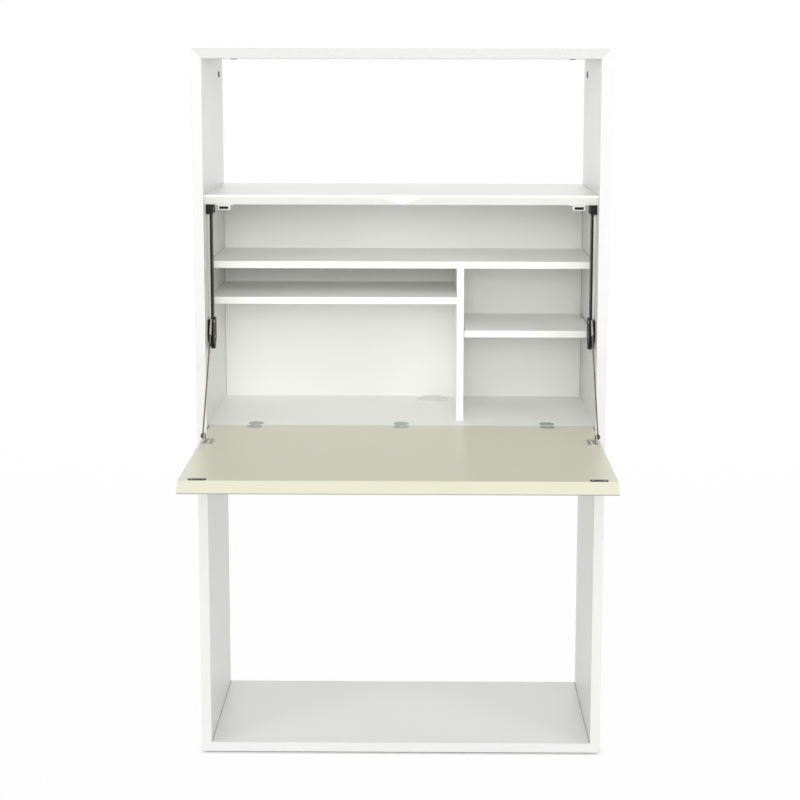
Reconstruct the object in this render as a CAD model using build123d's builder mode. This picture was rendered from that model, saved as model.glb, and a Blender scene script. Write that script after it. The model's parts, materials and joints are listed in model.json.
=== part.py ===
from build123d import *
import os
from math import hypot, sqrt

os.makedirs("parts", exist_ok=True)

# A secretary desk in a mitred frame. Millimetres, X across, Y from front to back, Z up.
# The flap is open and level. The origin is on the ground, under the middle of the open desk.

# Cabinet
width = 910.0
depth = 372.0
height = 1595.0
board = 22.0  # frame, writing floor, upper shelf and flap
thin_board = 16.0  # shelves and divider inside the compartment
back_board = 8.0
corner_round = 1.5
edge_round = 0.8

# Levels and places of the boards
floor_height = 756.0  # top of the writing floor above the frame's underside
compartment_height = 498.0  # clear height from the writing floor to the upper shelf
full_shelf_rise = 364.5  # tops of the inner shelves above the writing floor
left_shelf_rise = 283.0
small_shelf_rise = 205.0
recess = 16.0  # upper shelf and closed flap, behind the frame's front
shelf_setback = 94.0
small_shelf_setback = 107.0
right_bay = 292.0  # clear width to the right of the divider
small_shelf_gap = 1.5

# Front edge of the upper shelf
land = 4.0
notch_half = 48.0
notch_depth = 18.0
notch_round = 12.0

# Flap
flap_side_gap = 3.0
flap_top_gap = 2.0
hinge_gap = 1.0

# Flap hinges: a cup on each side of the hinge line, three knuckles and a pin
hinge_inset = 105.0  # outer hinges, from the side panels
cup_radius = 17.5
cup_depth = 11.0
cup_setback = 16.0
cup_fit = 0.1
barrel_radius = 2.5
centre_knuckle = 4.4
outer_knuckle = 4.0
knuckle_gap = 0.3
barrel_room = 0.4
hinge_pin_radius = 1.5
hinge_pin_fit = 0.05

# Stays: pivots measured from the hinge line and the writing surface
bracket_reach = 158.0
bracket_rise = 11.0
slider_setback = 10.0
slider_rise = 234.0
stay_inset = 7.5  # rod's axis from the side panel's inner face
rod_radius = 2.5
eye_radius = 6.0
eye_thickness = 4.4
stay_gap = 0.3
pivot_fit = 0.05

# Stay rail, its cap and its stop
rail_setback = 22.0  # behind the hinge line
rail_width = 30.0
rail_depth = 9.0
rail_web = 2.0
rail_wall = 1.5
rail_lip = 7.0
rail_top_gap = 4.0
cap_height = 26.0
cap_depth = 16.5
cap_front = 2.0  # behind the hinge line
cap_rear_wall = 2.0
cap_top_gap = 2.0
stop_height = 18.0
rail_screw_inset = 60.0

# Slider: housing with a fork for the rod, shoe, brake screw and rivet
housing_height = 50.0
housing_above_pivot = 4.0
housing_front = 1.0  # behind the hinge line
housing_rear_gap = 0.5
housing_side_gap = 0.5
fork_slot = 8.0
housing_depth = 18.0
fork_back = 5.0
nose_drop = 19.0
housing_round = 1.2
shoe_play = 0.4
shoe_stop_gap = 0.3
brake_screw_radius = 2.75
brake_screw_drop = 40.0
brake_screw_depth = 12.0
brake_screw_recess = 1.0
driver_slot_width = 0.8
driver_slot_depth = 0.8

# Rod clip
clip_gap = 0.4
clip_radius = 5.5
clip_length = 30.0
clip_width = 9.0
rod_end_gap = 4.0
rivet_radius = 2.0
rivet_head = 3.5
rivet_head_height = 1.0

# Flap bracket
bracket_width = 20.0
bracket_length = 49.0
bracket_offset = -8.5  # middle of the plate from the pivot, along Y
bracket_plate = 2.0
ear_radius = 7.0
ear_length = 30.0
pin_radius = 2.5
pin_head = 4.5
pin_head_height = 1.5

# Magnetic catches and strikes
catch_inset = 40.0  # middle of a catch, from the side panel
catch_flange = 40.0
flange_height = 3.0
flange_depth = 18.0
catch_body = 26.0
catch_drop = 13.0
catch_depth = 24.0
magnet_width = 20.0
magnet_height = 6.0
magnet_drop = 5.0
magnet_proud = 1.0
strike_width = 35.0
strike_height = 12.0
strike_plate = 1.2
catch_gap = 0.3

# Cable grommet
grommet_from_divider = 54.0
grommet_from_back = 42.0
grommet_radius = 30.0
grommet_wall = 3.0
grommet_flange = 8.0
grommet_lip = 2.5
grommet_depth = 18.0
lid_ledge = 2.5
lid_recess = 3.5
lid_gap = 0.3
lid_fit = 0.08
cable_slot_width = 20.0
cable_slot_depth = 17.0

# Wooden dowels, mitre bolts and cams
dowel_radius = 4.0
dowel_length = 30.0
dowel_in_face = 10.0
dowel_end_room = 1.0
dowel_front_inset = 70.0
dowel_rear_inset = 42.0
shelf_dowel_inset = 40.0
corner_dowel_radius = 3.0
corner_dowel_length = 18.0
corner_dowel_inset = 40.0
bolt_from_rear = 70.0
bolt_leg = 47.0
bolt_radius = 3.0
bolt_room = 0.3
cam_radius = 7.5
cam_depth = 14.5
cam_slot = (1.4, 9.0, 1.5)

# Shelf pins and glides
shelf_pin_radius = 2.5
shelf_pin_depth = 8.0
shelf_pin_reach = 9.0
shelf_pin_head = 4.5
shelf_pin_inset = 40.0
glide_height = 3.0
glide_radius = 10.0
glide_inset = 35.0
nail_radius = 1.5
nail_length = 12.0

pan_taper = 20.0  # degrees

# Small round pieces that repeat are prisms with few sides
dowel_sides = 6
screw_sides = 6
pin_sides = 12
disc_sides = 24
rim_sides = 36

# Screws: head radius, head height, shank radius, length
pan_screw = (3.6, 1.8, 1.7, 13.0)
flat_screw = (3.4, 1.7, 1.7, 13.0)
cup_screw = (3.8, 1.9, 1.9, 18.0)
small_screw = (2.4, 0.9, 1.2, 9.0)

# Planes and levels worked out from the sizes above
half_width = width / 2
inner_half = half_width - board
base_z = glide_height
top_z = base_z + height
middle_z = base_z + height / 2
floor_z = base_z + floor_height
ceiling_z = floor_z + compartment_height
full_shelf_z = floor_z + full_shelf_rise
left_shelf_z = floor_z + left_shelf_rise
small_shelf_z = floor_z + small_shelf_rise
bevel = board - land

hinge_setback = recess + board
flap_length = compartment_height + bevel - flap_top_gap
tip_trim = edge_round * sqrt(2)  # what the rounding takes off the flap's 45 degree tip
front_y = (flap_length - tip_trim - hinge_setback - depth) / 2
rear_y = front_y + depth
back_y = rear_y - back_board
hinge_y = front_y + hinge_setback
shelf_y = front_y + shelf_setback
divider_right = inner_half - right_bay
divider_left = divider_right - thin_board
divider_x = (divider_left + divider_right) / 2
flap_half = inner_half - flap_side_gap

mitre_x = half_width - board / 2
mitre_top = top_z - board / 2
mitre_bottom = base_z + board / 2

hinge_places = (hinge_inset - inner_half, 0.0, inner_half - hinge_inset)
barrel_length = centre_knuckle + 2 * (knuckle_gap + outer_knuckle)
outer_knuckle_x = (barrel_length - outer_knuckle) / 2

stay_x = inner_half - stay_inset
bracket_y = hinge_y - bracket_reach
bracket_z = floor_z + bracket_rise
pivot_y = hinge_y + slider_setback
pivot_z = floor_z + slider_rise
rod_length = hypot(pivot_y - bracket_y, pivot_z - bracket_z)
rod_direction = (0, pivot_y - bracket_y, pivot_z - bracket_z)

housing_top = pivot_z + housing_above_pivot
housing_bottom = housing_top - housing_height
stop_top = housing_bottom - shoe_stop_gap
rail_bottom = stop_top - stop_height
rail_top = ceiling_z - rail_top_gap
rail_front = hinge_y + rail_setback
rail_rear = rail_front + rail_width
rail_slot_front = rail_front + rail_lip
rail_slot_rear = rail_rear - rail_lip
ear_face = stay_x - rod_radius - stay_gap

catch_x = inner_half - catch_inset
catch_front = hinge_y + strike_plate + catch_gap
strike_y = hinge_y - (flap_length - board) + strike_height / 2 + edge_round

grommet_x = divider_left - grommet_from_divider
grommet_y = back_y - grommet_from_back
grommet_seat = Plane(origin=(grommet_x, grommet_y, floor_z), z_dir=(0, 0, 1))
lid_radius = grommet_radius - grommet_wall

board_dowels_y = (front_y + dowel_front_inset, rear_y - dowel_rear_inset)
shelf_dowels_y = (shelf_y + shelf_dowel_inset, back_y - shelf_dowel_inset)
corner_dowels_y = (front_y + corner_dowel_inset, rear_y - corner_dowel_inset)
shelf_pins_y = (front_y + small_shelf_setback + shelf_pin_inset, back_y - shelf_pin_inset)
bolt_y = rear_y - bolt_from_rear

both_sides = (("left", -1), ("right", 1))
from_start = (Align.CENTER, Align.CENTER, Align.MIN)


def level(z):
    """A horizontal plane at z, with its x along X and its y along Y."""
    return Plane.XY.offset(z)


def upright(x):
    """A plane square to X at x, with its x along Y and its y along Z."""
    return Plane.YZ.offset(x)


def facing(y):
    """A plane square to Y at y that faces the front, with its x along X and its y along Z."""
    return Plane.XZ.offset(-y)


def inboard(side, distance):
    """The X that lies a distance inside the inner face of a side panel."""
    return side * (inner_half - distance)


def mitred_panel(corners, long_axis):
    """A board of the mitred frame, with its section through corners and its front edges rounded."""
    with BuildSketch(facing(front_y)) as section:
        with Locations((0, middle_z)):
            RectangleRounded(width, height, corner_round)
        with BuildLine():
            Polyline(*corners, close=True)
        make_face(mode=Mode.INTERSECT)
    extrude(section.sketch, amount=-depth)
    front = faces().sort_by(Axis.Y)[0]
    fillet(front.edges().filter_by(long_axis), edge_round)


def flat_board(x_start, x_end, y_start, y_end, top, thickness):
    """A level board with rounded long edges at its front."""
    with BuildSketch(level(top - thickness)) as plan:
        with Locations(((x_start + x_end) / 2, (y_start + y_end) / 2)):
            Rectangle(x_end - x_start, y_end - y_start)
    extrude(plan.sketch, amount=thickness)
    front = faces().sort_by(Axis.Y)[0]
    fillet(front.edges().filter_by(Axis.X), edge_round)


def prisms(places, radius, length, sides, mode=Mode.ADD, clear=False):
    """Prisms that start at the places and run along their z. A clear one has the radius at its flats."""
    with BuildSketch(*places) as section:
        RegularPolygon(radius, sides, major_radius=not clear)
    extrude(section.sketch, amount=length, mode=mode)


def pegs(places, radius, length, mode=Mode.ADD):
    """Dowels, or the holes for them, with their middles at the places."""
    prisms([place.offset(-length / 2) for place in places], radius, length, dowel_sides, mode)


def dowel_place(x, y, z, direction):
    """Middle of a dowel that stands in a face at (x, y, z) and enters the board beyond it."""
    offset = dowel_length / 2 - dowel_in_face
    return Plane(origin=Vector(x, y, z) + Vector(*direction) * offset, z_dir=direction)


def end_dowels(side, ys, z):
    """Dowels between a side panel and the end of a board whose middle is at z."""
    return [dowel_place(side * inner_half, y, z, (-side, 0, 0)) for y in ys]


def bore_dowels(places):
    """Blind holes for dowels, a little deeper than the dowels."""
    pegs(places, dowel_radius, dowel_length + 2 * dowel_end_room, mode=Mode.SUBTRACT)


def corner_dowel_places(side, end):
    """Dowels square to the mitre at the top (end 1) or the bottom (end -1) of a side."""
    mitre_z = mitre_top if end > 0 else mitre_bottom
    return [Plane(origin=(side * mitre_x, y, mitre_z), z_dir=(side, 0, -end)) for y in corner_dowels_y]


def bore_corner_dowels(side, end):
    """Blind holes for the dowels of one mitre."""
    hole_length = corner_dowel_length + 2 * dowel_end_room
    pegs(corner_dowel_places(side, end), corner_dowel_radius, hole_length, mode=Mode.SUBTRACT)


def bolt_legs(side, radius, mode=Mode.ADD):
    """A corner's bolt, from the cam in the side panel over the middle of the mitre to the other cam."""
    low = (side * mitre_x, bolt_y, mitre_top - bolt_leg)
    elbow = (side * mitre_x, bolt_y, mitre_top)
    high = (side * (mitre_x - bolt_leg), bolt_y, mitre_top)
    with BuildLine() as path:
        Polyline(low, elbow, high)
    with BuildSketch(Plane(origin=low, z_dir=(0, 0, 1))) as section:
        RegularPolygon(radius, dowel_sides)
    sweep(section.sketch, path=path.line, transition=Transition.RIGHT, mode=mode)


def cam_places(side):
    """Faces of the two cams of a top corner, looking into the side panel and the top panel."""
    in_side = Plane(origin=(side * inner_half, bolt_y, mitre_top - bolt_leg), z_dir=(side, 0, 0))
    in_top = Plane(origin=(side * (mitre_x - bolt_leg), bolt_y, top_z - board), z_dir=(0, 0, 1))
    return [in_side, in_top]


def bore_corner_bolt(side):
    """Cam pockets and bolt channels of one top corner."""
    prisms(cam_places(side), cam_radius, cam_depth, disc_sides, mode=Mode.SUBTRACT)
    bolt_legs(side, bolt_radius + bolt_room, mode=Mode.SUBTRACT)


def screw(head_radius, head_height, shank_radius, length, flat=False):
    """A screw down -Z. A pan head stands on the origin's plane and a flat head is sunk below it."""
    with BuildPart() as fastener:
        prisms([level(-length)], shank_radius, length, screw_sides)
        with BuildSketch(level(0)):
            RegularPolygon(head_radius, screw_sides)
        if flat:
            extrude(amount=-head_height)
        else:
            extrude(amount=head_height, taper=pan_taper)
    return fastener.part


def drive_screws(fastener, places, mode=Mode.ADD):
    """Copies of a screw at the places, or the holes that they leave."""
    with Locations(*places):
        add(fastener, mode=mode)


pan = screw(*pan_screw)
flat = screw(*flat_screw, flat=True)
long_flat = screw(*cup_screw, flat=True)
small = screw(*small_screw, flat=True)

# Where the dowels stand
upper_middle = ceiling_z + board / 2
floor_middle = floor_z - board / 2
full_middle = full_shelf_z - thin_board / 2
left_middle = left_shelf_z - thin_board / 2
upper_dowels = {side: end_dowels(side, board_dowels_y, upper_middle) for _, side in both_sides}
floor_dowels = {side: end_dowels(side, board_dowels_y, floor_middle) for _, side in both_sides}
full_dowels = {side: end_dowels(side, shelf_dowels_y, full_middle) for _, side in both_sides}
left_shelf_dowels = end_dowels(-1, shelf_dowels_y, left_middle)
divider_shelf_dowels = [dowel_place(divider_left, y, left_middle, (-1, 0, 0)) for y in shelf_dowels_y]
divider_foot_dowels = [dowel_place(divider_x, y, floor_z, (0, 0, 1)) for y in shelf_dowels_y]
divider_top = full_shelf_z - thin_board
divider_head_dowels = [dowel_place(divider_x, y, divider_top, (0, 0, -1)) for y in shelf_dowels_y]

# Where the pins of the small shelf stand
pin_z = small_shelf_z - thin_board - shelf_pin_radius
side_pins = [Plane(origin=(inner_half, y, pin_z), z_dir=(1, 0, 0)) for y in shelf_pins_y]
divider_pins = [Plane(origin=(divider_right, y, pin_z), z_dir=(-1, 0, 0)) for y in shelf_pins_y]

# Where the screws of the stays, catches and hinges stand
rail_middle_y = (rail_front + rail_rear) / 2
rail_screws_z = (rail_bottom + rail_screw_inset, rail_top - rail_screw_inset)
rail_screw_places = {
    side: [
        Plane(origin=(inboard(side, rail_web), rail_middle_y, z), z_dir=(-side, 0, 0)) for z in rail_screws_z
    ]
    for _, side in both_sides
}
flange_ear = (catch_flange + catch_body) / 4
catch_screw_places = [
    Plane(
        origin=(side * catch_x + ear * flange_ear, catch_front + magnet_proud + flange_depth / 2,
                ceiling_z - flange_height),
        z_dir=(0, 0, -1),
    )
    for _, side in both_sides
    for ear in (-1, 1)
]
bracket_plate_x = ear_face - bracket_width / 2
bracket_screw_places = [
    Plane(
        origin=(side * (bracket_plate_x - bracket_plate), bracket_y + bracket_offset + shift,
                floor_z + bracket_plate),
        z_dir=(0, 0, 1),
    )
    for _, side in both_sides
    for shift in (-bracket_length / 3, 0.0, bracket_length / 3)
]
strike_screw_places = [
    Plane(
        origin=(side * catch_x + ear * strike_width / 3, strike_y, floor_z + strike_plate),
        z_dir=(0, 0, 1),
    )
    for _, side in both_sides
    for ear in (-1, 1)
]


def cup_middle(end):
    """Y of the cups behind (end 1) or in front of (end -1) the hinge line."""
    return hinge_y + end * (hinge_gap / 2 + cup_setback)


def cup_outline(end, radius, neck):
    """Plan of the cups on one side of the hinge line: round, with a neck to the knuckles."""
    middle = cup_middle(end)
    with Locations(*[(x, middle) for x in hinge_places]):
        RegularPolygon(radius, disc_sides)
    with Locations(*[(x, (middle + hinge_y) / 2) for x in hinge_places]):
        Rectangle(neck, abs(middle - hinge_y))


def cup_screw_places(end):
    """Screws in the middle of the cups."""
    return [Plane(origin=(x, cup_middle(end), floor_z), z_dir=(0, 0, 1)) for x in hinge_places]


def bore_hinge_pockets(end):
    """Pockets for the cups and for the knuckles, and the pilot holes of the cup screws."""
    with BuildSketch(level(floor_z)) as pockets:
        cup_outline(end, cup_radius + cup_fit, barrel_length + 2 * knuckle_gap)
    extrude(pockets.sketch, amount=-cup_depth, mode=Mode.SUBTRACT)
    drive_screws(long_flat, cup_screw_places(end), mode=Mode.SUBTRACT)


def knuckles(offsets, radius, length, mode=Mode.ADD, clear=False):
    """Prisms along the hinge line, with their middles at the offsets from the middle of each hinge."""
    starts = [
        Plane(origin=(x + offset - length / 2, hinge_y, floor_z), z_dir=(1, 0, 0))
        for x in hinge_places
        for offset in offsets
    ]
    prisms(starts, radius, length, pin_sides, mode, clear)


# Frame: two sides, top and bottom, mitred at the corners
for name, side in both_sides:
    with BuildPart() as side_panel:
        corners = [
            (side * half_width, base_z),
            (side * inner_half, base_z + board),
            (side * inner_half, top_z - board),
            (side * half_width, top_z),
        ]
        mitred_panel(corners, Axis.Z)
        bore_dowels(upper_dowels[side] + floor_dowels[side] + full_dowels[side])
        if side < 0:
            bore_dowels(left_shelf_dowels)
        bore_corner_dowels(side, 1)
        bore_corner_dowels(side, -1)
        bore_corner_bolt(side)
        drive_screws(flat, rail_screw_places[side], mode=Mode.SUBTRACT)
        if side > 0:
            prisms(side_pins, shelf_pin_radius, shelf_pin_depth, dowel_sides, mode=Mode.SUBTRACT)
    side_panel.part.label = f"side_panel_{name}"
    export_step(side_panel.part, f"parts/side_panel_{name}.step")

with BuildPart() as top_panel:
    corners = [
        (-half_width, top_z),
        (-inner_half, top_z - board),
        (inner_half, top_z - board),
        (half_width, top_z),
    ]
    mitred_panel(corners, Axis.X)
    for _, side in both_sides:
        bore_corner_dowels(side, 1)
        bore_corner_bolt(side)
top_panel.part.label = "top_panel"
export_step(top_panel.part, "parts/top_panel.step")

glide_places = [
    Plane(origin=(x, front_y + y, base_z), z_dir=(0, 0, 1))
    for x in (-half_width + glide_inset, half_width - glide_inset)
    for y in (glide_inset, depth - glide_inset)
]
with BuildPart() as bottom_panel:
    corners = [
        (-half_width, base_z),
        (-inner_half, base_z + board),
        (inner_half, base_z + board),
        (half_width, base_z),
    ]
    mitred_panel(corners, Axis.X)
    for _, side in both_sides:
        bore_corner_dowels(side, -1)
    prisms(glide_places, nail_radius, nail_length, screw_sides, mode=Mode.SUBTRACT)
bottom_panel.part.label = "bottom_panel"
export_step(bottom_panel.part, "parts/bottom_panel.step")

# Upper shelf: undercut front edge with a narrow land, and a notch for the fingers
with BuildPart() as upper_shelf:
    shelf_front = front_y + recess
    with BuildSketch(level(ceiling_z)) as plan:
        with BuildLine():
            Polyline(
                (-inner_half, shelf_front),
                (-notch_half, shelf_front),
                (0, shelf_front + notch_depth),
                (notch_half, shelf_front),
                (inner_half, shelf_front),
                (inner_half, rear_y),
                (-inner_half, rear_y),
                close=True,
            )
        make_face()
        notch_corners = [v for v in plan.vertices() if abs(v.X) <= notch_half and v.Y < hinge_y]
        fillet(notch_corners, notch_round)
    extrude(amount=board)
    with BuildSketch(upright(-inner_half)):
        with BuildLine():
            Polyline(
                (shelf_front, ceiling_z),
                (shelf_front + bevel, ceiling_z),
                (shelf_front, ceiling_z + bevel),
                close=True,
            )
        make_face()
    extrude(amount=2 * inner_half, mode=Mode.SUBTRACT)
    bore_dowels(upper_dowels[-1] + upper_dowels[1])
    drive_screws(pan, catch_screw_places, mode=Mode.SUBTRACT)
upper_shelf.part.label = "upper_shelf"
export_step(upper_shelf.part, "parts/upper_shelf.step")

# Writing floor of the compartment
with BuildPart() as compartment_floor:
    flat_board(-inner_half, inner_half, hinge_y + hinge_gap / 2, rear_y, floor_z, board)
    bore_dowels(floor_dowels[-1] + floor_dowels[1] + divider_foot_dowels)
    bore_hinge_pockets(1)
    prisms([grommet_seat], grommet_radius, -board, rim_sides, mode=Mode.SUBTRACT)
compartment_floor.part.label = "compartment_floor"
export_step(compartment_floor.part, "parts/compartment_floor.step")

with BuildPart() as back_panel:
    with BuildSketch(facing(rear_y)):
        with Locations((0, (floor_z + ceiling_z) / 2)):
            Rectangle(2 * inner_half, compartment_height)
    extrude(amount=back_board)
back_panel.part.label = "back_panel"
export_step(back_panel.part, "parts/back_panel.step")

# Shelves and divider inside the compartment
with BuildPart() as full_shelf:
    flat_board(-inner_half, inner_half, shelf_y, back_y, full_shelf_z, thin_board)
    bore_dowels(full_dowels[-1] + full_dowels[1] + divider_head_dowels)
full_shelf.part.label = "full_shelf"
export_step(full_shelf.part, "parts/full_shelf.step")

with BuildPart() as left_shelf:
    flat_board(-inner_half, divider_left, shelf_y, back_y, left_shelf_z, thin_board)
    bore_dowels(left_shelf_dowels + divider_shelf_dowels)
left_shelf.part.label = "left_shelf"
export_step(left_shelf.part, "parts/left_shelf.step")

with BuildPart() as divider:
    with BuildSketch(upright(divider_left)):
        with Locations(((shelf_y + back_y) / 2, (floor_z + divider_top) / 2)):
            Rectangle(back_y - shelf_y, divider_top - floor_z)
    extrude(amount=thin_board)
    front = divider.faces().sort_by(Axis.Y)[0]
    fillet(front.edges().filter_by(Axis.Z), edge_round)
    bore_dowels(divider_foot_dowels + divider_head_dowels + divider_shelf_dowels)
    prisms(divider_pins, shelf_pin_radius, shelf_pin_depth, dowel_sides, mode=Mode.SUBTRACT)
divider.part.label = "divider"
export_step(divider.part, "parts/divider.step")

with BuildPart() as small_shelf:
    flat_board(
        divider_right + small_shelf_gap,
        inner_half - small_shelf_gap,
        front_y + small_shelf_setback,
        back_y,
        small_shelf_z,
        thin_board,
    )
small_shelf.part.label = "small_shelf"
export_step(small_shelf.part, "parts/small_shelf.step")

with BuildPart() as shelf_pins:
    heads = [place.offset(-shelf_pin_reach) for place in side_pins + divider_pins]
    prisms(side_pins + divider_pins, shelf_pin_radius, shelf_pin_depth, dowel_sides)
    prisms(heads, shelf_pin_head, shelf_pin_reach, dowel_sides)
    with BuildSketch(level(small_shelf_z - thin_board)):
        with Locations((0, front_y + depth / 2)):
            Rectangle(width, depth)
    extrude(amount=shelf_pin_head, mode=Mode.SUBTRACT)
shelf_pins.part.label = "shelf_pins"
export_step(shelf_pins.part, "parts/shelf_pins.step")

# Flap: a full bevel along the front, so that it closes under the upper shelf
with BuildPart() as flap_door:
    with BuildSketch(upright(-flap_half)):
        with BuildLine():
            Polyline(
                (hinge_y - hinge_gap / 2, floor_z),
                (hinge_y - flap_length + board, floor_z),
                (hinge_y - flap_length, floor_z - board),
                (hinge_y - hinge_gap / 2, floor_z - board),
                close=True,
            )
        make_face()
    extrude(amount=2 * flap_half)
    fillet(flap_door.edges().filter_by(Axis.X).sort_by(Axis.Y)[:2], edge_round)
    bore_hinge_pockets(-1)
    drive_screws(pan, bracket_screw_places, mode=Mode.SUBTRACT)
    drive_screws(small, strike_screw_places, mode=Mode.SUBTRACT)
flap_door.part.label = "flap_door"
export_step(flap_door.part, "parts/flap_door.step")


def cup_blanks(end):
    """The cups on one side of the hinge line, cut off at the board's edge."""
    with BuildSketch(level(floor_z)) as cups:
        cup_outline(end, cup_radius, barrel_length)
        with Locations((0, hinge_y - end * (depth - hinge_gap) / 2)):
            Rectangle(width, depth, mode=Mode.SUBTRACT)
    extrude(cups.sketch, amount=-cup_depth)


# Hinge halves in the writing floor: the outer knuckles
outer_knuckles = (-outer_knuckle_x, outer_knuckle_x)
with BuildPart() as hinge_cups_cabinet:
    cup_blanks(1)
    knuckles((0,), barrel_radius + barrel_room, centre_knuckle + 2 * knuckle_gap, Mode.SUBTRACT, clear=True)
    knuckles(outer_knuckles, barrel_radius, outer_knuckle)
    knuckles((0,), hinge_pin_radius, barrel_length, Mode.SUBTRACT)
    drive_screws(long_flat, cup_screw_places(1), mode=Mode.SUBTRACT)
hinge_cups_cabinet.part.label = "hinge_cups_cabinet"
export_step(hinge_cups_cabinet.part, "parts/hinge_cups_cabinet.step")

# Hinge halves in the flap: the middle knuckles
with BuildPart() as hinge_cups_flap:
    cup_blanks(-1)
    outer_room = outer_knuckle + 2 * knuckle_gap
    knuckles(outer_knuckles, barrel_radius + barrel_room, outer_room, Mode.SUBTRACT, clear=True)
    knuckles((0,), barrel_radius, centre_knuckle)
    knuckles((0,), hinge_pin_radius + hinge_pin_fit, centre_knuckle, Mode.SUBTRACT, clear=True)
    drive_screws(long_flat, cup_screw_places(-1), mode=Mode.SUBTRACT)
hinge_cups_flap.part.label = "hinge_cups_flap"
export_step(hinge_cups_flap.part, "parts/hinge_cups_flap.step")

with BuildPart() as hinge_pins:
    knuckles((0,), hinge_pin_radius, barrel_length)
hinge_pins.part.label = "hinge_pins"
export_step(hinge_pins.part, "parts/hinge_pins.step")

for name, end in (("cabinet", 1), ("flap", -1)):
    with BuildPart() as hinge_screws:
        drive_screws(long_flat, cup_screw_places(end))
    hinge_screws.part.label = f"hinge_screws_{name}"
    export_step(hinge_screws.part, f"parts/hinge_screws_{name}.step")

# Stays, one at each side
fork_front = hinge_y + housing_front
fork_rear = rail_front - housing_rear_gap
block_rear = rail_rear + cap_rear_wall
block_start = rail_depth + housing_side_gap
housing_end = housing_side_gap + housing_depth


def slab(side, start, end, y_start, y_end, mode=Mode.ADD):
    """A rectangle in plan, from start to end inside the side panel's face."""
    with Locations((inboard(side, (start + end) / 2), (y_start + y_end) / 2)):
        Rectangle(end - start, y_end - y_start, mode=mode)


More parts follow.
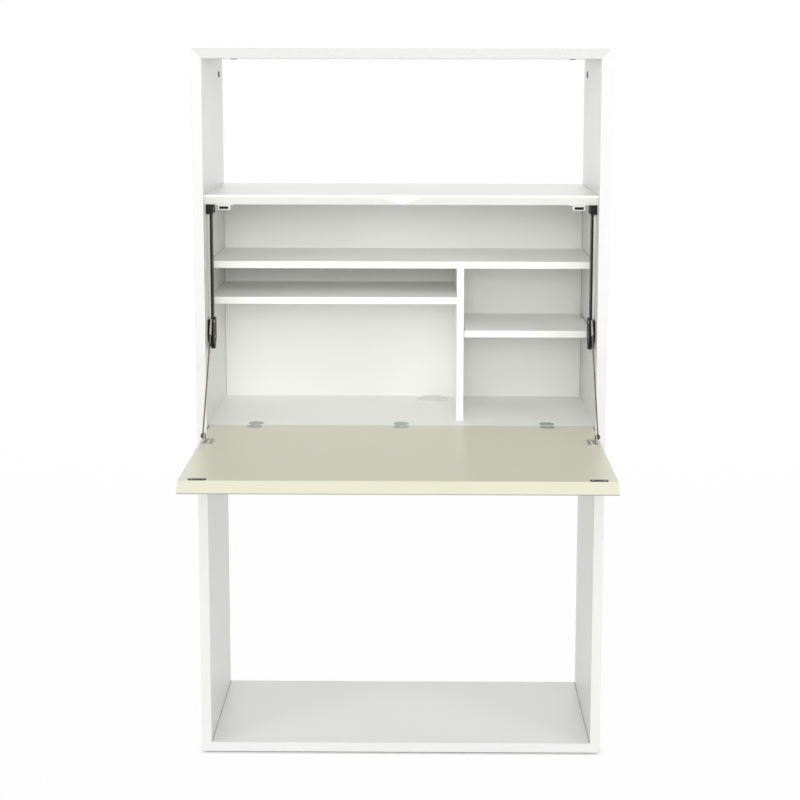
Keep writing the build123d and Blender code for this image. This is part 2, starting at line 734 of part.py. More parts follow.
for name, side in both_sides:
    with BuildPart() as stay_rail:
        with BuildSketch(level(rail_bottom)):
            slab(side, 0, rail_depth, rail_front, rail_rear)
            slab(
                side,
                rail_web,
                rail_depth - rail_wall,
                rail_front + rail_wall,
                rail_rear - rail_wall,
                mode=Mode.SUBTRACT,
            )
            slab(side, rail_web, rail_depth, rail_slot_front, rail_slot_rear, mode=Mode.SUBTRACT)
        extrude(amount=rail_top - rail_bottom)
        drive_screws(flat, rail_screw_places[side], mode=Mode.SUBTRACT)
    stay_rail.part.label = f"stay_rail_{name}"
    export_step(stay_rail.part, f"parts/stay_rail_{name}.step")

    with BuildPart() as rail_screws:
        drive_screws(flat, rail_screw_places[side])
    rail_screws.part.label = f"rail_screws_{name}"
    export_step(rail_screws.part, f"parts/rail_screws_{name}.step")

    with BuildPart() as rail_cap:
        cap_bottom = ceiling_z - cap_top_gap - cap_height
        with BuildSketch(level(cap_bottom)):
            slab(side, 0, cap_depth, hinge_y + cap_front, block_rear)
        extrude(amount=cap_height)
        inner_face = rail_cap.faces().sort_by(Axis.X)[0 if side > 0 else -1]
        fillet(inner_face.edges(), housing_round)
        with BuildSketch(level(cap_bottom)):
            slab(side, 0, rail_depth, rail_front, rail_rear)
        extrude(amount=rail_top - cap_bottom, mode=Mode.SUBTRACT)
    rail_cap.part.label = f"rail_cap_{name}"
    export_step(rail_cap.part, f"parts/rail_cap_{name}.step")

    with BuildPart() as rail_stop:
        with BuildSketch(level(rail_bottom)):
            slab(side, rail_web, rail_depth - rail_wall, rail_front + rail_wall, rail_rear - rail_wall)
            slab(side, rail_web, rail_depth, rail_slot_front, rail_slot_rear)
        extrude(amount=stop_height)
    rail_stop.part.label = f"rail_stop_{name}"
    export_step(rail_stop.part, f"parts/rail_stop_{name}.step")

    # Housing: a fork in front of the rail, and a block beside the rail that ends in a round nose
    with BuildPart() as slider_housing:
        with BuildSketch(level(housing_bottom)):
            slab(side, housing_side_gap, housing_end, fork_front, fork_rear)
            slab(side, block_start, housing_end, fork_front, block_rear)
            slot_start = stay_inset - fork_slot / 2
            slab(
                side,
                slot_start,
                slot_start + fork_slot,
                fork_front - housing_depth,
                fork_rear - fork_back,
                mode=Mode.SUBTRACT,
            )
        extrude(amount=housing_height)
        nose_radius = (block_rear - fork_rear) / 2
        nose_z = housing_bottom - nose_drop + nose_radius
        with BuildSketch(upright(inboard(side, block_start))):
            with Locations((fork_rear + nose_radius, nose_z)):
                Circle(nose_radius)
            with Locations((fork_rear + nose_radius, (nose_z + pivot_z) / 2)):
                Rectangle(2 * nose_radius, pivot_z - nose_z)
        extrude(amount=-side * (housing_end - block_start))
        inner_face = slider_housing.faces().sort_by(Axis.X)[0 if side > 0 else -1]
        chamfer(inner_face.edges(), housing_round)
        rivet_start = Plane((inboard(side, housing_side_gap), pivot_y, pivot_z), z_dir=(-side, 0, 0))
        prisms([rivet_start], rivet_radius, housing_depth, dowel_sides, mode=Mode.SUBTRACT)
        brake_x = inboard(side, (slot_start + fork_slot + housing_end) / 2)
        brake_face = Plane((brake_x, fork_front, housing_top - brake_screw_drop), z_dir=(0, 1, 0))
        prisms([brake_face], brake_screw_radius, brake_screw_depth, pin_sides, mode=Mode.SUBTRACT)
    slider_housing.part.label = f"slider_housing_{name}"
    export_step(slider_housing.part, f"parts/slider_housing_{name}.step")

    with BuildPart() as brake_screw:
        brake_head = brake_face.offset(brake_screw_recess)
        prisms([brake_head], brake_screw_radius, brake_screw_depth - brake_screw_recess, pin_sides)
        with Locations(brake_head):
            Box(2 * brake_screw_radius, driver_slot_width, 2 * driver_slot_depth, mode=Mode.SUBTRACT)
    brake_screw.part.label = f"brake_screw_{name}"
    export_step(brake_screw.part, f"parts/brake_screw_{name}.step")

    with BuildPart() as slider_shoe:
        with BuildSketch(level(housing_bottom)):
            slab(
                side,
                rail_web + shoe_play,
                rail_depth - rail_wall - shoe_play,
                rail_front + rail_wall + shoe_play,
                rail_rear - rail_wall - shoe_play,
            )
            slab(
                side,
                rail_web + shoe_play,
                block_start,
                rail_slot_front + shoe_play,
                rail_slot_rear - shoe_play,
            )
        extrude(amount=housing_height)
    slider_shoe.part.label = f"slider_shoe_{name}"
    export_step(slider_shoe.part, f"parts/slider_shoe_{name}.step")

    # The rivet keeps out of the fork's slot
    with BuildPart() as slider_rivet:
        outer_cheek = slot_start - housing_side_gap
        inner_cheek = housing_end - slot_start - fork_slot
        prisms([rivet_start], rivet_radius, outer_cheek, dowel_sides)
        prisms([rivet_start.offset(outer_cheek + fork_slot)], rivet_radius, inner_cheek, dowel_sides)
        prisms([rivet_start.offset(housing_depth)], rivet_head, rivet_head_height, pin_sides)
    slider_rivet.part.label = f"slider_rivet_{name}"
    export_step(slider_rivet.part, f"parts/slider_rivet_{name}.step")

    # Rod, from its eye on the bracket to the clip in the slider's fork
    foot = Plane((side * stay_x, bracket_y, bracket_z), x_dir=(1, 0, 0), z_dir=rod_direction)
    along_pin = Plane(foot.origin, z_dir=(1, 0, 0))
    with BuildPart() as stay_rod:
        prisms([foot], rod_radius, rod_length - rod_end_gap, pin_sides)
        prisms([along_pin.offset(-eye_thickness / 2)], eye_radius, eye_thickness, disc_sides)
        eye_start = along_pin.offset(-rod_radius)
        prisms([eye_start], pin_radius + pivot_fit, 2 * rod_radius, pin_sides, Mode.SUBTRACT, clear=True)
    stay_rod.part.label = f"stay_rod_{name}"
    export_step(stay_rod.part, f"parts/stay_rod_{name}.step")

    head = Plane((side * stay_x, pivot_y, pivot_z), x_dir=(1, 0, 0), z_dir=rod_direction)
    clip_thickness = fork_slot - 2 * clip_gap
    with BuildPart() as rod_clip:
        with BuildSketch(head):
            Rectangle(clip_thickness, clip_width)
        extrude(amount=-clip_length)
        across = Plane(head.origin, z_dir=(1, 0, 0)).offset(-clip_thickness / 2)
        prisms([across], clip_radius, clip_thickness, disc_sides)
        prisms([across], rivet_radius, clip_thickness, dowel_sides, Mode.SUBTRACT)
        prisms([foot], rod_radius, rod_length - rod_end_gap, pin_sides, Mode.SUBTRACT)
    rod_clip.part.label = f"rod_clip_{name}"
    export_step(rod_clip.part, f"parts/rod_clip_{name}.step")

    # Bracket on the flap: a bent plate with an ear for the rod's pin
    with BuildPart() as stay_bracket:
        with BuildSketch(level(floor_z)) as plate:
            middle = (side * (ear_face - bracket_width / 2), bracket_y + bracket_offset)
            with Locations(middle):
                Rectangle(bracket_width, bracket_length)
            free_corners = plate.vertices().sort_by(Axis.X)
            fillet(free_corners[:2] if side > 0 else free_corners[-2:], 3 * bracket_plate / 2)
        extrude(amount=bracket_plate)
        with BuildSketch(upright(side * (ear_face - bracket_plate))):
            with Locations((bracket_y, bracket_z)):
                Circle(ear_radius)
            with Locations((bracket_y, floor_z + bracket_plate / 2)):
                Rectangle(ear_length, bracket_plate)
            make_hull()
        extrude(amount=side * bracket_plate)
        ear_start = Plane((side * (ear_face - bracket_plate), bracket_y, bracket_z), z_dir=(side, 0, 0))
        prisms([ear_start], pin_radius, bracket_plate, pin_sides, mode=Mode.SUBTRACT)
        drive_screws(pan, bracket_screw_places, mode=Mode.SUBTRACT)
    stay_bracket.part.label = f"stay_bracket_{name}"
    export_step(stay_bracket.part, f"parts/stay_bracket_{name}.step")

# Pins through the ears and the rods' eyes, with a head at each end
with BuildPart() as bracket_pins:
    for _, side in both_sides:
        inner_end = Plane((side * (ear_face - bracket_plate), bracket_y, bracket_z), z_dir=(side, 0, 0))
        shank = bracket_plate + 2 * (rod_radius + stay_gap)
        prisms([inner_end], pin_radius, shank, pin_sides)
        heads = [inner_end.offset(-pin_head_height), inner_end.offset(shank)]
        prisms(heads, pin_head, pin_head_height, pin_sides)
bracket_pins.part.label = "bracket_pins"
export_step(bracket_pins.part, "parts/bracket_pins.step")

with BuildPart() as bracket_screws:
    drive_screws(pan, bracket_screw_places)
bracket_screws.part.label = "bracket_screws"
export_step(bracket_screws.part, "parts/bracket_screws.step")

# Magnetic catches under the upper shelf, and their strikes on the flap
housing_face = catch_front + magnet_proud
for name, side in both_sides:
    x = side * catch_x
    magnet_z = ceiling_z - magnet_drop - magnet_height / 2
    with BuildPart() as catch_housing:
        with BuildSketch(level(ceiling_z)) as flange:
            with Locations((x, housing_face + flange_depth / 2)):
                Rectangle(catch_flange, flange_depth)
            chamfer(flange.vertices(), flange_height)
        extrude(amount=-flange_height)
        with BuildSketch(level(ceiling_z)):
            with Locations((x, housing_face + catch_depth / 2)):
                Rectangle(catch_body, catch_depth)
        extrude(amount=-catch_drop)
        with BuildSketch(facing(catch_front)):
            with Locations((x, magnet_z)):
                Rectangle(magnet_width, magnet_height)
        extrude(amount=-catch_depth, mode=Mode.SUBTRACT)
        drive_screws(pan, catch_screw_places, mode=Mode.SUBTRACT)
    catch_housing.part.label = f"catch_housing_{name}"
    export_step(catch_housing.part, f"parts/catch_housing_{name}.step")

    with BuildPart() as catch_magnet:
        with BuildSketch(facing(catch_front)):
            with Locations((x, magnet_z)):
                Rectangle(magnet_width, magnet_height)
        extrude(amount=-catch_depth)
    catch_magnet.part.label = f"catch_magnet_{name}"
    export_step(catch_magnet.part, f"parts/catch_magnet_{name}.step")

    with BuildPart() as strike:
        with BuildSketch(level(floor_z)) as plate:
            with Locations((x, strike_y)):
                Rectangle(strike_width, strike_height)
            chamfer(plate.vertices(), strike_plate)
        extrude(amount=strike_plate)
        drive_screws(small, strike_screw_places, mode=Mode.SUBTRACT)
    strike.part.label = f"strike_plate_{name}"
    export_step(strike.part, f"parts/strike_plate_{name}.step")

with BuildPart() as catch_screws:
    drive_screws(pan, catch_screw_places)
catch_screws.part.label = "catch_screws"
export_step(catch_screws.part, "parts/catch_screws.step")

with BuildPart() as strike_screws:
    drive_screws(small, strike_screw_places)
strike_screws.part.label = "strike_screws"
export_step(strike_screws.part, "parts/strike_screws.step")

# Cable grommet: a flanged ring, and a lid with a cable slot that turns on the ring's ledge
with BuildPart() as grommet_ring:
    prisms([grommet_seat], grommet_radius, -grommet_depth, rim_sides)
    prisms([grommet_seat], grommet_radius + grommet_flange, grommet_lip, rim_sides)
    rim = grommet_ring.faces().sort_by(Axis.Z)[-1]
    chamfer(rim.edges(), grommet_lip / 2)
    grommet_top = grommet_seat.offset(grommet_lip)
    prisms([grommet_top], lid_radius, -lid_recess, rim_sides, Mode.SUBTRACT, clear=True)
    prisms([grommet_top], lid_radius - lid_ledge, -grommet_lip - grommet_depth, rim_sides, Mode.SUBTRACT)
grommet_ring.part.label = "grommet_ring"
export_step(grommet_ring.part, "parts/grommet_ring.step")

with BuildPart() as grommet_lid:
    with BuildSketch(level(floor_z + grommet_lip)):
        with Locations((grommet_x, grommet_y)):
            RegularPolygon(lid_radius - lid_fit, rim_sides)
        slot_end = grommet_x + lid_radius - cable_slot_depth + cable_slot_width / 2
        with Locations((slot_end, grommet_y)):
            Circle(cable_slot_width / 2, mode=Mode.SUBTRACT)
        with Locations((slot_end + cable_slot_width / 2, grommet_y)):
            Rectangle(cable_slot_width, cable_slot_width, mode=Mode.SUBTRACT)
    extrude(amount=-(lid_recess - lid_gap))
grommet_lid.part.label = "grommet_lid"
export_step(grommet_lid.part, "parts/grommet_lid.step")

# Corner fittings, dowels and glides
with BuildPart() as corner_cams:
    for _, side in both_sides:
        prisms(cam_places(side), cam_radius, cam_depth, disc_sides)
        with Locations(*cam_places(side)):
            Box(*cam_slot, align=from_start, mode=Mode.SUBTRACT)
        bolt_legs(side, bolt_radius + bolt_room, mode=Mode.SUBTRACT)
corner_cams.part.label = "corner_cams"
export_step(corner_cams.part, "parts/corner_cams.step")

with BuildPart() as mitre_bolts:
    for _, side in both_sides:
        bolt_legs(side, bolt_radius)
mitre_bolts.part.label = "mitre_bolts"
export_step(mitre_bolts.part, "parts/mitre_bolts.step")

with BuildPart() as corner_dowels:
    for _, side in both_sides:
        for end in (-1, 1):
            pegs(corner_dowel_places(side, end), corner_dowel_radius, corner_dowel_length)
corner_dowels.part.label = "corner_dowels"
export_step(corner_dowels.part, "parts/corner_dowels.step")

with BuildPart() as shelf_dowels:
    dowel_places = left_shelf_dowels + divider_shelf_dowels + divider_foot_dowels + divider_head_dowels
    for _, side in both_sides:
        dowel_places += upper_dowels[side] + floor_dowels[side] + full_dowels[side]
    pegs(dowel_places, dowel_radius, dowel_length)
shelf_dowels.part.label = "shelf_dowels"
export_step(shelf_dowels.part, "parts/shelf_dowels.step")

with BuildPart() as glides:
    prisms(glide_places, nail_radius, nail_length, screw_sides)
    prisms(glide_places, glide_radius, -glide_height, pin_sides)
glides.part.label = "glides"
export_step(glides.part, "parts/glides.step")
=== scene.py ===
import json
from math import cos, radians, sin

import bmesh
import bpy
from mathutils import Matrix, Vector


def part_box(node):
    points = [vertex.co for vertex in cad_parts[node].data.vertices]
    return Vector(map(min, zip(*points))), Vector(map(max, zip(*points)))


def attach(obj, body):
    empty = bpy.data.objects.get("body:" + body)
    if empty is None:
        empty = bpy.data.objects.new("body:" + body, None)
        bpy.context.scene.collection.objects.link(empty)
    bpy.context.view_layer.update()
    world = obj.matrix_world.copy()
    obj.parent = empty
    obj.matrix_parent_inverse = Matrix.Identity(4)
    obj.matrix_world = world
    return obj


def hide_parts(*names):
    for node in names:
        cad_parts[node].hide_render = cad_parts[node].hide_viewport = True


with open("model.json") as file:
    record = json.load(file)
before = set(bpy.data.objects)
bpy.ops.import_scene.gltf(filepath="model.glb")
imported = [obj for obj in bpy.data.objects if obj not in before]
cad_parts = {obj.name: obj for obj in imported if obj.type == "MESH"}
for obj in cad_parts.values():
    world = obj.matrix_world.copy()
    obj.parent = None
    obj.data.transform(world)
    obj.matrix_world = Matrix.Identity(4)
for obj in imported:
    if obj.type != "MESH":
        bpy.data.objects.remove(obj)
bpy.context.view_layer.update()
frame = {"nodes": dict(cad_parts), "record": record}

MM = 0.001
SIDES = (("left", -1), ("right", 1))  # name of a side, and the sign of its x
TO_THE_RIGHT, UP, DOWN = (1, 0, 0), (0, 0, 1), (0, 0, -1)

scene = bpy.context.scene
scene.view_settings.view_transform = "Standard"

# Camera: at a standing person's eyes, in front of the desk and close to its middle
desk_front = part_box("side_panel_left")[0].y
CAMERA_X = 0.0464
CAMERA_DISTANCE = 3.5177  # from the side panels' front edges
CAMERA_HEIGHT = 1.5639
CAMERA_TURN = (82.221, -0.092, 0.448)  # degrees about x, y and z
CAMERA_LENS, CAMERA_SENSOR = 72.61, 36.0  # mm
CAMERA_SHIFT = (-0.0125, -0.144)

camera_data = bpy.data.cameras.new("camera")
camera_data.lens = CAMERA_LENS
camera_data.sensor_width = CAMERA_SENSOR
camera_data.shift_x, camera_data.shift_y = CAMERA_SHIFT
camera = bpy.data.objects.new("camera", camera_data)
camera.location = (CAMERA_X, desk_front - CAMERA_DISTANCE, CAMERA_HEIGHT)
camera.rotation_euler = [radians(turn) for turn in CAMERA_TURN]
scene.collection.objects.link(camera)
scene.camera = camera


# Materials
class Tree:
    """A node tree with a few short ways to add nodes to it."""

    def __init__(self, tree):
        self.nodes = tree.nodes
        self.links = tree.links

    def link(self, source, target):
        self.links.new(source, target)

    def combined(self, operation, *factors):
        """The factors, taken together by one operation."""
        result = factors[0]
        for factor in factors[1:]:
            node = self.nodes.new("ShaderNodeMath")
            node.operation = operation
            self.link(result, node.inputs[0])
            self.link(factor, node.inputs[1])
            result = node.outputs[0]
        return result

    def mapped(self, value, start, end, low, high):
        """The value, its start to end moved to low to high and held there."""
        node = self.nodes.new("ShaderNodeMapRange")
        numbers = {"From Min": start, "From Max": end, "To Min": low, "To Max": high}
        for socket, number in numbers.items():
            node.inputs[socket].default_value = number
        self.link(value, node.inputs["Value"])
        return node.outputs["Result"]

    def white_to_the_eye(self, surface, share=None):
        """A surface mixed with plain white for camera, glossy and transmission rays."""
        path = self.nodes.new("ShaderNodeLightPath")
        kinds = ("Is Camera Ray", "Is Glossy Ray", "Is Transmission Ray")
        rays = self.combined("MAXIMUM", *(path.outputs[kind] for kind in kinds))
        if share:
            rays = self.combined("MULTIPLY", rays, share)
        white = self.nodes.new("ShaderNodeEmission")
        mix = self.nodes.new("ShaderNodeMixShader")
        self.link(rays, mix.inputs["Fac"])
        self.link(surface, mix.inputs[1])
        self.link(white.outputs[0], mix.inputs[2])
        return mix.outputs[0]


class Shader(Tree):
    """A material, whose patterns lie in object coordinates."""

    def __init__(self, name):
        self.material = bpy.data.materials.new(name)
        self.material.use_nodes = True
        super().__init__(self.material.node_tree)
        self.bsdf = self.nodes["Principled BSDF"]
        self.position = self.nodes.new("ShaderNodeTexCoord").outputs["Object"]

    def noise(self, scale, detail=3.0, stretch=(1, 1, 1), distortion=0.0):
        """A noise's factor, its scale changed along each axis by the stretch."""
        mapping = self.nodes.new("ShaderNodeMapping")
        mapping.inputs["Scale"].default_value = stretch
        self.link(self.position, mapping.inputs["Vector"])
        noise = self.nodes.new("ShaderNodeTexNoise")
        noise.inputs["Scale"].default_value = scale
        noise.inputs["Detail"].default_value = detail
        noise.inputs["Distortion"].default_value = distortion
        self.link(mapping.outputs["Vector"], noise.inputs["Vector"])
        return noise.outputs["Fac"]

    def step(self, axis, edge, blur, above=True):
        """1 where the position along an axis is above the edge, or below it."""
        parts = self.nodes.new("ShaderNodeSeparateXYZ")
        self.link(self.position, parts.inputs[0])
        low, high = (0.0, 1.0) if above else (1.0, 0.0)
        return self.mapped(parts.outputs[axis], edge - blur / 2, edge + blur / 2, low, high)

    def tone(self, factor, first, second, low=0.35, high=0.65):
        """A blend between two colours as the factor goes from low to high."""
        ramp = self.nodes.new("ShaderNodeValToRGB")
        stops = zip(ramp.color_ramp.elements, (low, high), (first, second))
        for stop, position, colour in stops:
            stop.position = position
            stop.color = (*colour, 1)
        self.link(factor, ramp.inputs["Fac"])
        return ramp.outputs["Color"]

    def colour(self, tone):
        self.link(tone, self.bsdf.inputs["Base Color"])

    def roughness(self, factor, low, high):
        self.link(self.mapped(factor, 0.0, 1.0, low, high), self.bsdf.inputs["Roughness"])

    def bump(self, height, strength, distance):
        """Relief from the height, added to the relief that is there."""
        bump = self.nodes.new("ShaderNodeBump")
        bump.inputs["Strength"].default_value = strength
        bump.inputs["Distance"].default_value = distance
        self.link(height, bump.inputs["Height"])
        normal = self.bsdf.inputs["Normal"]
        if normal.is_linked:
            self.link(normal.links[0].from_socket, bump.inputs["Normal"])
        self.link(bump.outputs["Normal"], normal)


def lacquer(name, tone, drift=0.985):
    """Satin lacquer on board with a faint orange peel, its tone falling by the drift."""
    shader = Shader(name)
    shader.colour(shader.tone(shader.noise(2.2), [drift * share for share in tone], tone))
    shader.roughness(shader.noise(9.0, detail=4.0), 0.34, 0.44)
    shader.bump(shader.noise(900.0, detail=1.0), strength=0.05, distance=0.4 * MM)
    shader.bump(shader.noise(60.0, detail=2.0), strength=0.02, distance=MM)
    return shader.material


def laminate(name):
    """Smooth grey-beige laminate, with painted shade in dark brown along the flap's sharp lower
    edge.
    """
    shade_depth, shade_height, blur = 2.6 * MM, 1.6 * MM, 0.4 * MM
    flap_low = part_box("flap_door")[0]
    shader = Shader(name)
    beige = shader.tone(shader.noise(3.0), (0.725, 0.715, 0.56), (0.74, 0.73, 0.575))
    # Painted shade: a dark brown band at the lower front edge, where the flap's edge faces down
    # into shade
    edge_shade = shader.nodes.new("ShaderNodeMix")
    edge_shade.data_type = "RGBA"
    at_the_edge = shader.combined(
        "MULTIPLY",
        shader.step("Y", flap_low.y + shade_depth, blur, above=False),
        shader.step("Z", flap_low.z + shade_height, blur, above=False),
    )
    shader.link(at_the_edge, edge_shade.inputs["Factor"])
    shader.link(beige, edge_shade.inputs["A"])
    edge_shade.inputs["B"].default_value = (0.26, 0.24, 0.20, 1)
    shader.colour(edge_shade.outputs["Result"])
    shader.roughness(shader.noise(14.0, detail=4.0), 0.30, 0.38)
    shader.bump(shader.noise(700.0, detail=1.0), strength=0.04, distance=0.3 * MM)
    return shader.material


def metal(name, dark, light, rough=(0.35, 0.5), stretch=(1, 1, 1)):
    """Plated metal with fine wear, whose roughness drifts over a range."""
    shader = Shader(name)
    shader.bsdf.inputs["Metallic"].default_value = 1.0
    shader.colour(shader.tone(shader.noise(90.0, 5.0, stretch), dark, light, 0.3, 0.7))
    shader.roughness(shader.noise(220.0, 4.0, stretch), *rough)
    shader.bump(shader.noise(1500.0, 2.0, stretch), strength=0.06, distance=0.3 * MM)
    return shader.material


def moulded(name, dark, light, specular=0.5):
    """Moulded plastic with a fine spark-eroded grain."""
    shader = Shader(name)
    shader.bsdf.inputs["Specular IOR Level"].default_value = specular
    shader.colour(shader.tone(shader.noise(60.0, detail=4.0), dark, light))
    shader.roughness(shader.noise(140.0, detail=4.0), 0.4, 0.55)
    shader.bump(shader.noise(2500.0, detail=2.0), strength=0.12, distance=0.3 * MM)
    return shader.material


def bare_beech(name):
    """Bare beech: fine grain and flecks along the dowel."""
    shader = Shader(name)
    grain = shader.noise(160.0, 4.0, stretch=(1, 1, 0.2), distortion=0.5)
    shader.colour(shader.tone(grain, (0.50, 0.33, 0.19), (0.66, 0.47, 0.30)))
    shader.roughness(shader.noise(200.0), 0.55, 0.7)
    flecks = shader.noise(900.0, stretch=(1, 1, 0.1))
    shader.bump(flecks, strength=0.2, distance=0.5 * MM)
    return shader.material


DRAWN = (1, 1, 0.1)  # the stretch of marks that run up a drawn or rolled section
finishes = {
    # The one white board in three tones: the inner boards painted lighter and greener than the
    # frame (painted fill light and the flap's bounce), the frame painted darker (painted shade),
    # the top panel darker still (painted shade on its front)
    "white_board": lacquer("inner_white_painted_fill", (0.955, 0.96, 0.93)),
    "frame_white_painted_shade": lacquer("frame_white_painted_shade", (0.775, 0.775, 0.765)),
    "top_white_painted_shade": lacquer("top_white_painted_shade", (0.67, 0.67, 0.665)),
    "flap_laminate": laminate("flap_laminate"),
    "hinge_zinc": metal("nickel_plate", (0.48, 0.49, 0.44), (0.62, 0.63, 0.57)),
    "bright_steel": metal(
        "zinc_plate", (0.40, 0.40, 0.37), (0.55, 0.55, 0.51), (0.3, 0.45), DRAWN
    ),
    "rod_steel": metal(
        "browned_steel", (0.17, 0.15, 0.125), (0.25, 0.225, 0.19), (0.25, 0.42), DRAWN
    ),
    "bracket_steel": metal("plain_steel", (0.42, 0.42, 0.35), (0.52, 0.52, 0.44), (0.4, 0.55)),
    "strike_steel": metal("strike_plate", (0.03, 0.03, 0.028), (0.055, 0.055, 0.05)),
    "clip_steel": metal("satin_steel", (0.46, 0.43, 0.36), (0.60, 0.56, 0.48)),
    "dark_steel": metal("dark_plate", (0.05, 0.05, 0.048), (0.10, 0.10, 0.095)),
    "black_plastic": moulded(
        "black_plastic", (0.007, 0.007, 0.007), (0.014, 0.014, 0.013), specular=0.2
    ),
    "joint_shadow": moulded("joint_shadow", (0.30, 0.31, 0.28), (0.38, 0.39, 0.35), specular=0.2),
    "magnet": moulded("ferrite", (0.006, 0.006, 0.007), (0.012, 0.012, 0.013), specular=0.15),
    "pale_plastic": moulded("pale_plastic", (0.88, 0.88, 0.86), (0.92, 0.92, 0.90)),
    "grommet_plastic": moulded("grommet_plastic", (0.80, 0.81, 0.79), (0.85, 0.86, 0.84)),
    "beech": bare_beech("beech"),
}

# CAD nodes whose finish is not the plain one of their slot; the frame's and the top panel's are
# darker copies of the white board, with painted shade
FINISH_OF_NODE = {
    "side_panel_left": "frame_white_painted_shade",
    "side_panel_right": "frame_white_painted_shade",
    "bottom_panel": "frame_white_painted_shade",
    "top_panel": "top_white_painted_shade",
    "stay_bracket_left": "bracket_steel",
    "stay_bracket_right": "bracket_steel",
    "strike_plate_left": "strike_steel",
    "strike_plate_right": "strike_steel",
}
slot_of = {part["node"]: part["material_slot"] for part in frame["record"]["subparts"]}
for name, node in frame["nodes"].items():
    for slot in node.material_slots:
        slot.material = finishes[FINISH_OF_NODE.get(name, slot_of[name])]


# Pieces in mesh code, in metres, placed by the CAD nodes they stand for
bodies = frame["record"]["behaviour"]["bodies"]
body_of = {node: body for body, nodes in bodies.items() for node in nodes}

# The record's slot for each finish: a slot's own name, or that of a finish close to it
SLOT_OF_FINISH = {slot: slot for slot in slot_of.values()}
SLOT_OF_FINISH.update(rod_steel="bright_steel", clip_steel="bright_steel")

WELD = 1e-6  # vertices that are closer belong together
SHARP_ANGLE = 35  # degrees; edges below it are shaded smooth
BEVEL_ANGLE = 40  # degrees; edges above it are rounded
SMALL_STEPS = 32  # around a screw, a pin or a knuckle

# Proportions of a screw, as shares of its head's radius
DOMED_RIM, FLAT_RIM = 0.78, 0.96
MOUTH_REACH, MOUTH_HALF = 0.55, 0.12
RECESS_REACH, RECESS_HALF, RECESS_DEPTH = 0.4, 0.08, 0.45
FLAT_HEAD_DEPTH = 0.5
SHANK, SHANK_END, TIP = 0.48, 0.45, 0.05
DOME_SIDE = ((0.93, 0.25), (1.0, 0.6), (1.0, 1.0))  # each with a share of the dome's height
FLAT_EDGE = 0.1 * MM  # height of a flat head's edge
TAPER_START = 0.85  # share of the screw's length


def solids(node):
    """Boxes of a node's separate solids, as (lowest corner, highest corner)."""
    shape = bmesh.new()
    shape.from_mesh(frame["nodes"][node].data)
    bmesh.ops.remove_doubles(shape, verts=shape.verts, dist=WELD)
    waiting = set(shape.verts)
    boxes = []
    while waiting:
        reached = [waiting.pop()]
        for vertex in reached:
            near = [edge.other_vert(vertex) for edge in vertex.link_edges]
            new = [other for other in near if other in waiting]
            waiting.difference_update(new)
            reached.extend(new)
        corners = list(zip(*(vertex.co for vertex in reached)))
        boxes.append((Vector(map(min, corners)), Vector(map(max, corners))))
    shape.free()
    return sorted(boxes, key=lambda box: tuple(box[0]))


def middle(box):
    return (box[0] + box[1]) / 2


def facing(direction):
    """The turn that points z along a direction."""
    return Vector(direction).to_track_quat("Z", "Y").to_matrix()


def arc(radius, steps, centre=(0, 0), start=0.0, sweep=360.0):
    """Points of a circle, or of an arc with both its ends; angles in degrees."""
    last = steps if sweep == 360 else steps - 1
    angles = [radians(start + sweep * i / last) for i in range(steps)]
    return [(centre[0] + radius * cos(a), centre[1] + radius * sin(a)) for a in angles]


def cross(arm, half):
    """Outline of a cross recess: its reach and half the width of its arms."""
    points = []
    x, y = Vector((1, 0)), Vector((0, 1))
    for _ in range(4):
        points += [x * arm - y * half, x * arm + y * half, x * half + y * half]
        x, y = y, -x
    return [tuple(point) for point in points]


def mirrored(profile, length):
    """A turned profile, and the same at its other end."""
    return profile + [(radius, length - along) for radius, along in reversed(profile)]


